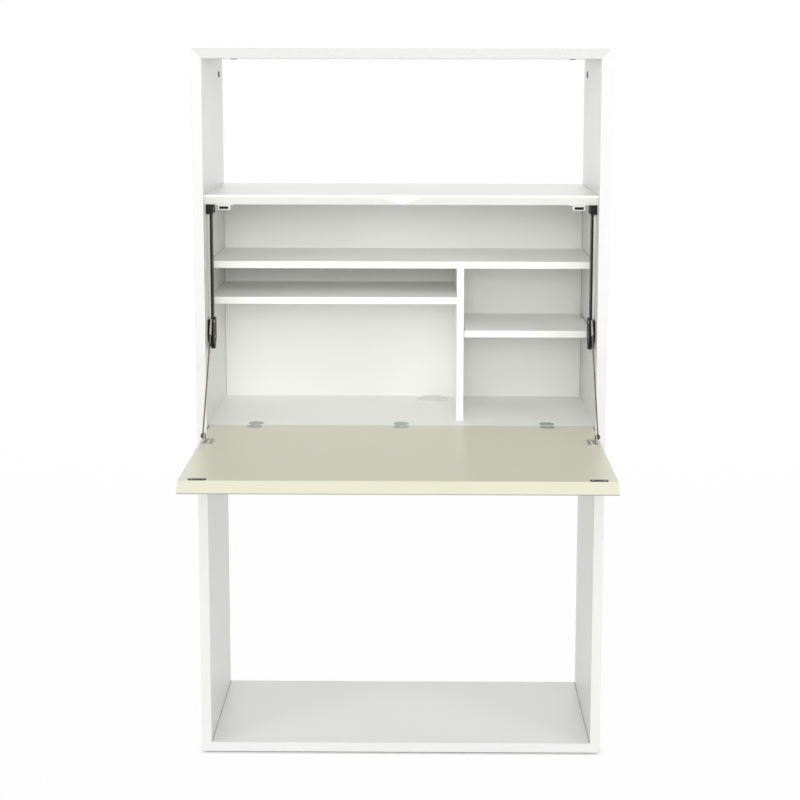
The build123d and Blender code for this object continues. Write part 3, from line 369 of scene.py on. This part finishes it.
class Form:
    """A mesh that grows by closed shapes, then becomes a piece."""

    def __init__(self):
        self.mesh = bmesh.new()

    def ring(self, points):
        return [self.mesh.verts.new(point) for point in points]

    def wall(self, first, second):
        """Faces between two rings of as many points."""
        for i in range(len(first)):
            j = (i + 1) % len(first)
            self.mesh.faces.new((first[i], first[j], second[j], second[i]))

    def skin(self, outlines, capped=True):
        """Outlines joined one after another, with caps or back to the first."""
        rings = [self.ring(points) for points in outlines]
        for first, second in zip(rings, rings[1:]):
            self.wall(first, second)
        if capped:
            self.mesh.faces.new(rings[0][::-1])
            self.mesh.faces.new(rings[-1])
        else:
            self.wall(rings[-1], rings[0])

    def block(self, one, other):
        """A box between two opposite corners."""
        (x0, y0, z0), (x1, y1, z1) = one, other
        plan = [(x0, y0), (x1, y0), (x1, y1), (x0, y1)]
        self.skin([[(x, y, z) for x, y in plan] for z in (z0, z1)])

    def turned(self, profile, origin, axis, steps=48, capped=True):
        """A shape of revolution, from (radius, distance along the axis) pairs."""
        turn = facing(axis)
        outlines = []
        for radius, along in profile:
            circle = [Vector((x, y, along)) for x, y in arc(radius, steps)]
            outlines.append([Vector(origin) + turn @ point for point in circle])
        self.skin(outlines, capped)

    def plate(self, outline, start, end, place):
        """An outline of pairs drawn out from start to end; place turns u, v, w into a point."""
        self.skin([[place(u, v, w) for u, v in outline] for w in (start, end)])

    def screw(self, top, out, radius, length, dome=0.0):
        """A round screw with a cross recess, the top of its head at a point, looking out."""
        turn = facing(out)

        def level(outline, height):
            return self.ring([Vector(top) + turn @ Vector((x, y, height)) for x, y in outline])

        rim = level(arc(radius * (DOMED_RIM if dome else FLAT_RIM), SMALL_STEPS), 0)
        mouth = level(cross(radius * MOUTH_REACH, radius * MOUTH_HALF), 0)
        recess = cross(radius * RECESS_REACH, radius * RECESS_HALF)
        bottom = level(recess, -radius * RECESS_DEPTH)
        self.wall(mouth, bottom)
        self.mesh.faces.new(bottom)
        edges = []
        for loop in (rim, mouth):
            for first, second in zip(loop, loop[1:] + loop[:1]):
                known = self.mesh.edges.get((first, second))
                edges.append(known or self.mesh.edges.new((first, second)))
        bmesh.ops.triangle_fill(self.mesh, use_beauty=True, edges=edges, normal=Vector(out))
        # Under the rim: the head's side, its seat, the shank and the tip
        if dome:
            profile = [(share, down * dome) for share, down in DOME_SIDE] + [(SHANK, dome)]
        else:
            profile = [(1.0, FLAT_EDGE), (SHANK, radius * FLAT_HEAD_DEPTH)]
        profile += [(SHANK_END, length * TAPER_START), (TIP, length)]
        above = rim
        for share, down in profile:
            below = level(arc(radius * share, SMALL_STEPS), -down)
            self.wall(above, below)
            above = below
        self.mesh.faces.new(above)

    def become(self, name, body, finish, replaced=(), edge=0.0):
        """The finished piece, on its body, with its edges rounded."""
        bmesh.ops.recalc_face_normals(self.mesh, faces=self.mesh.faces)
        data = bpy.data.meshes.new(name)
        self.mesh.to_mesh(data)
        self.mesh.free()
        data.polygons.foreach_set("use_smooth", [True] * len(data.polygons))
        data.set_sharp_from_angle(angle=radians(SHARP_ANGLE))
        data.materials.append(finishes[finish])
        piece = bpy.data.objects.new(name, data)
        scene.collection.objects.link(piece)
        if edge:
            bevel = piece.modifiers.new("rounded edges", "BEVEL")
            bevel.width = edge
            bevel.segments = 2
            bevel.limit_method = "ANGLE"
            bevel.angle_limit = radians(BEVEL_ANGLE)
            bevel.harden_normals = True
        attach(piece, body)
        if replaced:
            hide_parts(*replaced)


def cross_screws(node, out, dome=0.0):
    """Round screws with cross recesses in place of a node's plain ones."""
    form = Form()
    along = max(range(3), key=lambda i: abs(out[i]))
    for low, high in solids(node):
        size = high - low
        top = middle((low, high))
        top[along] = high[along] if out[along] > 0 else low[along]
        radius = (sum(size) - size[along]) / 4
        form.screw(top, out, radius, size[along], dome)
    form.become(f"cross_{node}", body_of[node], slot_of[node], (node,))


# Stays: a rail with its cap on each side panel, a slider in it, and a rod down to the flap
RAIL_SHEET = 1.3 * MM  # thickness of the rail's sheet
RAIL_BACK = 2 * MM  # the same, where it lies on the side panel
RAIL_LIP = 7 * MM  # width of the lips beside the slot
RAIL_FLAT = 2.4 * MM  # flat part of the rail's front, from the side panel
RAIL_SLOPE = 1.6 * MM  # how far the rest of the front falls back
CAP_HEIGHT, CAP_DEPTH = 20.5 * MM, 14 * MM
SLIDER_FACE = 13.5 * MM  # from the side panel to the slider's face
FORK_GAP = 0.5 * MM  # between the rail's front and the slider's fork


class Stay:
    """One side's stay, laid out by distances from the side panel.

    The foot is the point where its rod meets the bracket on the flap.
    """

    def __init__(self, name, side, foot):
        self.name = name
        self.side = side
        self.foot = foot
        self.low, self.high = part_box(f"stay_rail_{name}")
        self.front, self.rear = self.low.y, self.high.y
        self.deep = self.high.x - self.low.x
        self.panel = self.low.x if side < 0 else self.high.x
        self.inward = (-side, 0, 0)
        self.cap_low, self.cap_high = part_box(f"rail_cap_{name}")
        self.cap_bottom = self.cap_high.z - CAP_HEIGHT
        self.pivot = middle(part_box(f"slider_rivet_{name}"))

    def build(self):
        self.rail()
        self.slot_shade()
        self.cap()
        self.slider()
        self.slider_screws()
        self.rod()

    def x(self, distance):
        """The x at a distance from the side panel."""
        return self.panel - self.side * distance

    def in_plan(self, u, v, w):
        return self.x(u), v, w

    def in_profile(self, u, v, w):
        return self.x(w), u, v

    def rail(self):
        """A rolled channel with a sloping front and a slot towards the desk's middle."""
        front, rear, deep = self.front, self.rear, self.deep
        inner = deep - RAIL_SHEET
        channel = [
            (0, rear),
            (0, front),
            (RAIL_FLAT, front),
            (deep, front + RAIL_SLOPE),
            (deep, front + RAIL_LIP),
            (inner, front + RAIL_LIP),
            (inner, front + RAIL_SLOPE + RAIL_SHEET),
            (RAIL_BACK, front + RAIL_SHEET),
            (RAIL_BACK, rear - RAIL_SHEET),
            (inner, rear - RAIL_SHEET),
            (inner, rear - RAIL_LIP),
            (deep, rear - RAIL_LIP),
            (deep, rear),
        ]
        form = Form()
        form.plate(channel, self.low.z, self.high.z, self.in_plan)
        name, rail = self.name, (f"stay_rail_{self.name}",)
        form.become(f"rail_channel_{name}", "cabinet", "bright_steel", rail, 0.3 * MM)

    def slot_shade(self):
        """Painted shade of the rail's slot: a black sheet over the rail's slope, and strips on its
        rear lip and in its back.
        """
        name, front, rear, deep = self.name, self.front, self.rear, self.deep
        top = self.cap_bottom + MM
        start, reach = 5.4 * MM, 5.5 * MM  # from the side panel, and from the rail's front
        over, under = deep + 0.3 * MM, deep - 0.1 * MM
        # Painted shade: black sheets where the rail's open slot lies in shade
        sleeve = [
            (start, front + 0.2 * MM),
            (over, front + RAIL_SLOPE - 0.3 * MM),
            (over, front + reach),
            (under, front + reach),
            (under, front + RAIL_SLOPE + 0.2 * MM),
            (start, front + 0.9 * MM),
        ]
        form = Form()
        form.plate(sleeve, self.low.z, top, self.in_plan)
        form.block(
            (self.x(deep), rear - RAIL_LIP, self.low.z),
            (self.x(deep + 0.25 * MM), rear, top),
        )
        stop_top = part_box(f"rail_stop_{name}")[1].z
        form.block(
            (self.x(RAIL_BACK), front + 2 * RAIL_SHEET, stop_top),
            (self.x(RAIL_BACK + 0.3 * MM), rear - RAIL_SHEET, top),
        )
        form.become(f"rail_slot_shade_{name}", "cabinet", "black_plastic")

    def cap(self):
        """A cap, its base on the side panel set back in front, and the screw in its face."""
        name, low, high = self.name, self.cap_low, self.cap_high
        base, set_back, lap = 1.6 * MM, 2 * MM, 0.1 * MM
        form = Form()
        form.block(
            (self.x(0), low.y + set_back, self.cap_bottom),
            (self.x(base), high.y, high.z),
        )
        form.block(
            (self.x(base - lap), low.y, self.cap_bottom),
            (self.x(CAP_DEPTH), high.y, high.z),
        )
        form.become(f"cap_{name}", "cabinet", "black_plastic", (f"rail_cap_{name}",), 2 * MM)
        form = Form()
        proud = 0.05 * MM
        centre = ((low.y + high.y) / 2, (self.cap_bottom + high.z) / 2)
        place = (self.x(CAP_DEPTH + proud), *centre)
        form.screw(place, self.inward, radius=3 * MM, length=6 * MM)
        form.become(f"cap_screw_{name}", "cabinet", "bright_steel")

    def slider(self):
        """A fork for the rod in front of the rail, and beside it a plate that ends in a nose."""
        name = self.name
        low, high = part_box(f"slider_housing_{name}")
        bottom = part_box(f"slider_shoe_{name}")[0].z
        fork_rear = self.front - FORK_GAP
        top_cut, foot_cut = 2 * MM, 3 * MM
        nose_radius, heel = 9 * MM, 4 * MM
        nose_centre = (fork_rear + nose_radius, low.z + nose_radius)
        nose = arc(nose_radius, 9, nose_centre, start=200, sweep=160)
        rear = [(high.y, bottom + heel), (high.y, high.z)]
        top = [(low.y + top_cut, high.z), (low.y, high.z - top_cut)]
        foot = [(low.y, bottom + foot_cut), (low.y + foot_cut, bottom)]
        beside = [(max(y, fork_rear), z) for y, z in nose + rear] + [(fork_rear, high.z)]
        cheek = foot + [(fork_rear, bottom), (fork_rear, high.z)] + top
        web_depth = 5 * MM
        # The web joins the two sides of the fork in front of the rail
        web = [
            (fork_rear - web_depth, high.z),
            (fork_rear, high.z),
            (fork_rear, low.z + 5 * MM),
            (fork_rear - 2 * MM, low.z + 6 * MM),
            (fork_rear - web_depth, low.z + 10 * MM),
        ]
        layers = (  # an outline, and its start and end from the side panel
            (foot + nose + rear + top, 11.5 * MM, SLIDER_FACE),
            (beside, 9.5 * MM, 11.6 * MM),
            (cheek, 0.5 * MM, 3.5 * MM),
            (web, 0.7 * MM, 13.3 * MM),
        )
        form = Form()
        for outline, start, end in layers:
            form.plate(outline, start, end, self.in_profile)
        body = f"slider_{name}"
        housing = (f"slider_housing_{name}",)
        form.become(f"slider_body_{name}", body, "black_plastic", housing, 0.5 * MM)

    def slider_screws(self):
        """The two stubs of the rivet that the rod's clip hangs on, and the brake screw."""
        name = self.name
        face = self.x(SLIDER_FACE)
        pivot = self.pivot
        head = [(3.5 * MM, -MM), (3.4 * MM, 0.4 * MM), (2.4 * MM, 0.9 * MM)]
        stub = [(2 * MM, 0), (2 * MM, 2.9 * MM)]
        form = Form()
        form.turned(head, (face, pivot.y, pivot.z), self.inward)
        form.turned(stub, (self.x(0.5 * MM), pivot.y, pivot.z), self.inward)
        body = f"slider_{name}"
        form.become(f"rivet_{name}", body, "bright_steel", (f"slider_rivet_{name}",), 0.1 * MM)
        dome, behind_fork = 0.6 * MM, 2 * MM
        brake = middle(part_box(f"brake_screw_{name}"))
        place = (face - self.side * dome, self.front - FORK_GAP + behind_fork, brake.z)
        form = Form()
        form.screw(place, self.inward, radius=2.9 * MM, length=3 * MM, dome=dome)
        form.become(f"brake_{name}", body, "bright_steel", (f"brake_screw_{name}",))

    def rod(self):
        """A round rod, its eye on the flap's bracket, and its flat clip on the slider."""
        name = self.name
        body = f"stay_rod_{name}"
        low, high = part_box(f"stay_rod_{name}")
        centre_x = (low.x + high.x) / 2
        foot = Vector((centre_x, self.foot.y, self.foot.z))
        head = Vector((centre_x, self.pivot.y, self.pivot.z))
        towards = (head - foot).normalized()
        across = Vector((0, -towards.z, towards.y))
        length = (head - foot).length
        radius, into_eye, into_clip = 1.7 * MM, 4 * MM, 20 * MM
        form = Form()
        form.turned([(radius, into_eye), (radius, length - into_clip)], foot, towards)
        form.become(f"rod_{name}", body, "rod_steel", (f"stay_rod_{name}",))

        hole, outer, half, cut = 2.6 * MM, 5.4 * MM, 2.2 * MM, 0.6 * MM
        ring = [(hole, -half), (outer - cut, -half), (outer, -half + cut)]
        form = Form()
        form.turned(mirrored(ring, 0), foot, TO_THE_RIGHT, capped=False)
        form.become(f"eye_{name}", body, "dark_steel")

        clip_length, clip_half, clip_end, clip_thick = 34 * MM, 3.4 * MM, 5.5 * MM, 3.8 * MM
        tail = [(-clip_length, clip_half), (-clip_length, -clip_half)]

        def along_rod(u, v, w):
            point = head + towards * u + across * v
            return centre_x + w, point.y, point.z

        form = Form()
        blade = tail + arc(clip_end, 17, start=-90, sweep=180)
        form.plate(blade, -clip_thick / 2, clip_thick / 2, along_rod)
        form.become(f"clip_{name}", body, "clip_steel", (f"rod_clip_{name}",), 0.4 * MM)


def bracket_rivets():
    """Rivets with a dome at each end, which carry the rods' eyes."""
    form = Form()
    neck = 2.5 * MM
    for low, high in solids("bracket_pins"):
        radius, length = (high.y - low.y) / 2, high.x - low.x
        dome = [(radius * 0.55, 0), (radius * 0.9, 0.5 * MM), (radius, MM)]
        dome += [(radius, 1.5 * MM), (neck, 1.5 * MM)]
        start = (low.x, *middle((low, high)).yz)
        form.turned(mirrored(dome, length), start, TO_THE_RIGHT)
    form.become("bracket_rivets", "flap", "dark_steel", ("bracket_pins",))


def hinge_cups(node, knuckles):
    """One body's cups: each a dish with an arm, and knuckles at offsets from its middle."""
    hinge_line = middle(solids("hinge_pins")[0])
    gap = 0.5 * MM  # from a cup's straight side to the hinge's line
    arm_half, arm_start, arm_end = 3 * MM, 4.6 * MM, 2.2 * MM
    barrel_half, bore = 2.1 * MM, 1.55 * MM
    tab_inset, tab_start, tab_end = 0.2 * MM, 1.8 * MM, 4 * MM
    form = Form()
    screws, cups = solids(f"hinge_screws_{node}"), solids(f"hinge_cups_{node}")
    for screw, (low, high) in zip(screws, cups):
        seat = Vector((*middle(screw).xy, screw[1].z))
        away = 1 if seat.y > hinge_line.y else -1
        reach = abs(seat.y - hinge_line.y) - gap
        radius = (high.x - low.x) / 2

        def level(size, height):
            """A circle about the seat, cut straight beside the hinge's line."""
            points = [(x, max(y, -reach)) for x, y in arc(size, 64)]
            return [seat + Vector((x, away * y, height)) for x, y in points]

        flange = 0.7 * MM
        rings = (  # radius and height, from the cup's foot over the flange into the dish
            (radius, -3 * MM),
            (radius, 0.2 * MM),
            (radius - 0.5 * MM, flange),
            (12.6 * MM, flange),
            (12 * MM, 0.5 * MM),
            (11.4 * MM, -0.3 * MM),
        )
        form.skin([level(size, height) for size, height in rings])
        form.block(
            (seat.x - arm_half, seat.y - away * arm_start, seat.z - 0.5 * MM),
            (seat.x + arm_half, hinge_line.y + away * arm_end, seat.z + MM),
        )
        barrel = mirrored([(bore, 0), (2.2 * MM, 0), (2.5 * MM, 0.3 * MM)], 2 * barrel_half)
        for offset in knuckles:
            start = Vector((seat.x + offset - barrel_half, hinge_line.y, hinge_line.z))
            form.turned(barrel, start, TO_THE_RIGHT, SMALL_STEPS, capped=False)
            tab_left = start.x + tab_inset
            tab_right = start.x + 2 * barrel_half - tab_inset
            form.block(
                (tab_left, hinge_line.y + away * tab_start, seat.z - MM),
                (tab_right, hinge_line.y + away * tab_end, seat.z + MM),
            )
    form.become(f"dished_cups_{node}", node, "hinge_zinc", (f"hinge_cups_{node}",), 0.2 * MM)


def round_hinge_pins():
    """Pins with a chamfer at each end."""
    form = Form()
    for low, high in solids("hinge_pins"):
        radius, length = (high.z - low.z) / 2, high.x - low.x
        profile = mirrored([(radius * 0.6, 0), (radius, 0.4 * MM)], length)
        start = (low.x, *middle((low, high)).yz)
        form.turned(profile, start, TO_THE_RIGHT, SMALL_STEPS)
    form.become("round_hinge_pins", "cabinet", "bright_steel", ("hinge_pins",))


def grommet():
    """The cable grommet's turned ring, and its lid with a cable slot and a grip."""
    ring_low, ring_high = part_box("grommet_ring")
    lid_low, lid_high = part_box("grommet_lid")
    centre = middle((ring_low, ring_high))
    seat = Vector((centre.x, centre.y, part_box("compartment_floor")[1].z))
    outer = (ring_high.x - ring_low.x) / 2
    sleeve = outer - 8 * MM
    lip, depth = ring_high.z - seat.z, seat.z - ring_low.z
    lid_radius = (lid_high.y - lid_low.y) / 2
    mouth, ledge = lid_radius + 0.25 * MM, lid_radius - 2.4 * MM
    ledge_top = lid_low.z - seat.z - 0.3 * MM
    profile = [
        (sleeve, 0),
        (outer, 0),
        (outer, 0.6 * MM),
        (outer - 0.7 * MM, 1.6 * MM),
        (outer - 2.4 * MM, lip),
        (lid_radius + 0.9 * MM, lip),
        (mouth, lip - 0.6 * MM),
        (mouth, ledge_top),
        (ledge, ledge_top),
        (ledge, -depth),
        (sleeve, -depth),
    ]
    form = Form()
    form.turned(profile, seat, UP, 96, capped=False)
    form.become("turned_grommet_ring", "cabinet", "grommet_plastic", ("grommet_ring",))

    def on_lid(u, v, w):
        return centre.x + u, centre.y + v, w

    opening = 22.0  # degrees from the slot's middle to a corner of its mouth
    slot_half, slot_end = 10 * MM, lid_radius - 7 * MM
    rim = arc(lid_radius, 81, start=opening, sweep=360 - 2 * opening)
    slot = arc(slot_half, 17, (slot_end, 0), start=270, sweep=-180)
    grip_x, grip_y, grip_half, grip_steps = -17 * MM, 9 * MM, 2 * MM, 9
    grip_sunk, grip_proud = 0.5 * MM, 0.7 * MM
    grip = arc(grip_half, grip_steps, (grip_x, grip_y), start=0, sweep=180)
    grip += arc(grip_half, grip_steps, (grip_x, -grip_y), start=180, sweep=180)
    form = Form()
    form.plate(rim + slot, lid_low.z, lid_high.z, on_lid)
    form.plate(grip, lid_high.z - grip_sunk, lid_high.z + grip_proud, on_lid)
    form.become("slotted_lid", "grommet_lid", "grommet_plastic", ("grommet_lid",), 0.4 * MM)


def cams():
    """Cam discs of the mitres: a cross for the driver inside a collar that stands proud."""
    form = Form()
    wide, proud, cut, sunk = 1.4 * MM, 1.4 * MM, 0.3 * MM, 10 * MM  # the collar's
    driver_inset, driver_length = 1.6 * MM, 12 * MM
    for low, high in solids("corner_cams"):
        centre, size = middle((low, high)), high - low
        if size.x < size.z:
            on_right = centre.x > 0
            out = Vector((-1 if on_right else 1, 0, 0))
            face = Vector((low.x if on_right else high.x, centre.y, centre.z))
        else:
            out = Vector(DOWN)
            face = Vector((centre.x, centre.y, low.z))
        radius = size.y / 2
        form.screw(face + out * MM, out, radius - driver_inset, driver_length)
        collar = [
            (radius - wide, -sunk),
            (radius, -sunk),
            (radius, 1.1 * MM),
            (radius - cut, proud),
            (radius - wide, proud),
        ]
        form.turned(collar, face, out, capped=False)
    form.become("cross_cams", "cabinet", "dark_steel", ("corner_cams",))


def glides():
    """Glides: a moulded foot on a nail."""
    form = Form()
    nail, foot_height = 1.5 * MM, 3 * MM
    for low, high in solids("glides"):
        radius, centre = (high.x - low.x) / 2, middle((low, high))
        foot = [
            (radius - 2 * MM, 0),
            (radius - 0.6 * MM, 0.5 * MM),
            (radius, 1.6 * MM),
            (radius, foot_height),
            (nail, foot_height),
            (nail, high.z),
        ]
        form.turned(foot, (centre.x, centre.y, 0), UP)
    form.become("round_glides", "cabinet", "black_plastic", ("glides",))


def catch(name):
    """A catch: a flange with ears, and a body with a steel plate on each side of the magnet."""
    low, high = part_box(f"catch_housing_{name}")
    magnet_low, magnet_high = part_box(f"catch_magnet_{name}")
    centre_x = (low.x + high.x) / 2
    half, ear_depth, flange_height = 13 * MM, 18 * MM, 3 * MM
    flange_bottom = high.z - flange_height
    form = Form()
    form.block((low.x, low.y, flange_bottom), (high.x, low.y + ear_depth, high.z))
    form.block((centre_x - half, low.y, low.z), (centre_x + half, high.y, flange_bottom + MM))
    housing = (f"catch_housing_{name}",)
    form.become(f"catch_body_{name}", "cabinet", "pale_plastic", housing, 0.8 * MM)
    thick, beside, proud, short = 0.9 * MM, 0.4 * MM, 0.08 * MM, 2 * MM
    form = Form()
    for z in (magnet_low.z, magnet_high.z - thick):
        form.block(
            (magnet_low.x - beside, magnet_low.y - proud, z),
            (magnet_high.x + beside, magnet_high.y - short, z + thick),
        )
    form.become(f"catch_poles_{name}", "cabinet", "dark_steel", (), 0.15 * MM)


def painted_joint_shade():
    """Dark strips at the back panel's sides and at the ends of the boards: hairline joints, with
    the shade of their corners painted in.
    """
    form = Form()
    proud, set_back, back_width = 0.12 * MM, 5 * MM, 0.8 * MM
    low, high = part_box("back_panel")
    for x, inward in ((low.x, 1), (high.x, -1)):
        form.block((x, low.y, low.z), (x + inward * back_width, low.y - proud, high.z))
    widths = {
        "bottom_panel": 1.5 * MM,
        "upper_shelf": 0.4 * MM,
        "full_shelf": 0.8 * MM,
        "small_shelf": 0.8 * MM,
        "left_shelf": 0.6 * MM,
    }
    for node, width in widths.items():
        low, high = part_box(node)
        mitre = high.z - low.z if node == "bottom_panel" else 0
        for x, inward in ((low.x + mitre, 1), (high.x - mitre, -1)):
            form.block((x, low.y + set_back, high.z), (x + inward * width, high.y, high.z + proud))
    form.become("painted_joint_shade", "cabinet", "joint_shadow")


# The pieces
PAN_HEAD = 1.8 * MM  # height of a domed head
cross_screws("hinge_screws_cabinet", UP)
cross_screws("hinge_screws_flap", UP)
cross_screws("strike_screws", UP)
cross_screws("bracket_screws", UP, PAN_HEAD)
cross_screws("catch_screws", DOWN, PAN_HEAD)
for name, side in SIDES:
    cross_screws(f"rail_screws_{name}", (-side, 0, 0))
for (name, side), pin in zip(SIDES, solids("bracket_pins")):
    Stay(name, side, middle(pin)).build()
bracket_rivets()
hinge_cups("cabinet", (-4.5 * MM, 4.5 * MM))
hinge_cups("flap", (0,))
round_hinge_pins()
grommet()
cams()
glides()
for name, side in SIDES:
    catch(name)
painted_joint_shade()

# Floor, and its material: white to the eye, except in the shadow under the base
FLOOR_HALF = 12.0
WHITE_NEAR, WHITE_FAR = 0.95, 1.0  # the white's share of the floor near the desk and far from it
NEAR, FAR = 1.2, 4.0  # distances from the desk's middle


def floor_material():
    shader = Shader("pale_floor")
    shader.colour(shader.tone(shader.noise(1.5), (0.90, 0.90, 0.90), (0.93, 0.93, 0.93)))
    shader.roughness(shader.noise(4.0), 0.7, 0.8)
    # The white gives way where the base stands close over the floor, so its contact shadow shows
    base_low, base_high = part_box("bottom_panel")
    blur, front_overlap, front_blur = 0.02, 0.006, 0.004
    under_base = shader.combined(
        "MULTIPLY",
        shader.step("X", base_low.x, blur),
        shader.step("X", base_high.x, blur, above=False),
        shader.step("Y", base_low.y - front_overlap, front_blur),
        shader.step("Y", base_high.y, blur, above=False),
    )
    in_the_open = shader.mapped(under_base, 0.0, 1.0, 1.0, 0.0)
    distance = shader.nodes.new("ShaderNodeVectorMath")
    distance.operation = "LENGTH"
    shader.link(shader.position, distance.inputs[0])
    white = shader.mapped(distance.outputs["Value"], NEAR, FAR, WHITE_NEAR, WHITE_FAR)
    share = shader.combined("MULTIPLY", in_the_open, white)
    surface = shader.white_to_the_eye(shader.bsdf.outputs[0], share)
    shader.link(surface, shader.nodes["Material Output"].inputs["Surface"])
    return shader.material


floor_mesh = bpy.data.meshes.new("floor")
signs = ((-1, -1), (1, -1), (1, 1), (-1, 1))
floor_mesh.from_pydata([(x * FLOOR_HALF, y * FLOOR_HALF, 0) for x, y in signs], [], [range(4)])
floor_mesh.materials.append(floor_material())
floor = bpy.data.objects.new("floor", floor_mesh)
scene.collection.objects.link(floor)

# Sky: even light, and a white background
SKY = 0.55
world = bpy.data.worlds.new("studio")
world.use_nodes = True
scene.world = world
world_tree = Tree(world.node_tree)
sky = world_tree.nodes["Background"]
sky.inputs["Color"].default_value = (1, 1, 1, 1)
sky.inputs["Strength"].default_value = SKY
background = world_tree.white_to_the_eye(sky.outputs[0])
world_tree.link(background, world_tree.nodes["World Output"].inputs["Surface"])

# Lamps: far ones light the front evenly from top to bottom, near ones the inside and the back
LAMP_TARGET = (0, desk_front, 0.95)
LAMPS = (  # name, place, size and power
    ("front_high", (0, -12.0, 6.6), 8.0, 400),
    ("front_low", (0, -12.0, 3.7), 2.6, 185),
    ("left", (-3.2, -2.4, 1.9), 1.6, 34),
    ("right", (3.2, -2.4, 1.9), 1.6, 34),
    ("back_high", (0, 3.0, 3.0), 2.5, 4),
    ("back", (0, 3.5, 1.2), 2.5, 9),
)


def soft_lamp(name, place, size, power):
    """A square area lamp that looks at the middle of the desk's front."""
    data = bpy.data.lights.new(name, "AREA")
    data.shape = "SQUARE"
    data.size = size
    data.energy = power
    lamp = bpy.data.objects.new(name, data)
    lamp.location = place
    towards = Vector(LAMP_TARGET) - Vector(place)
    lamp.rotation_euler = towards.to_track_quat("-Z", "Y").to_euler()
    scene.collection.objects.link(lamp)


for lamp in LAMPS:
    soft_lamp(*lamp)
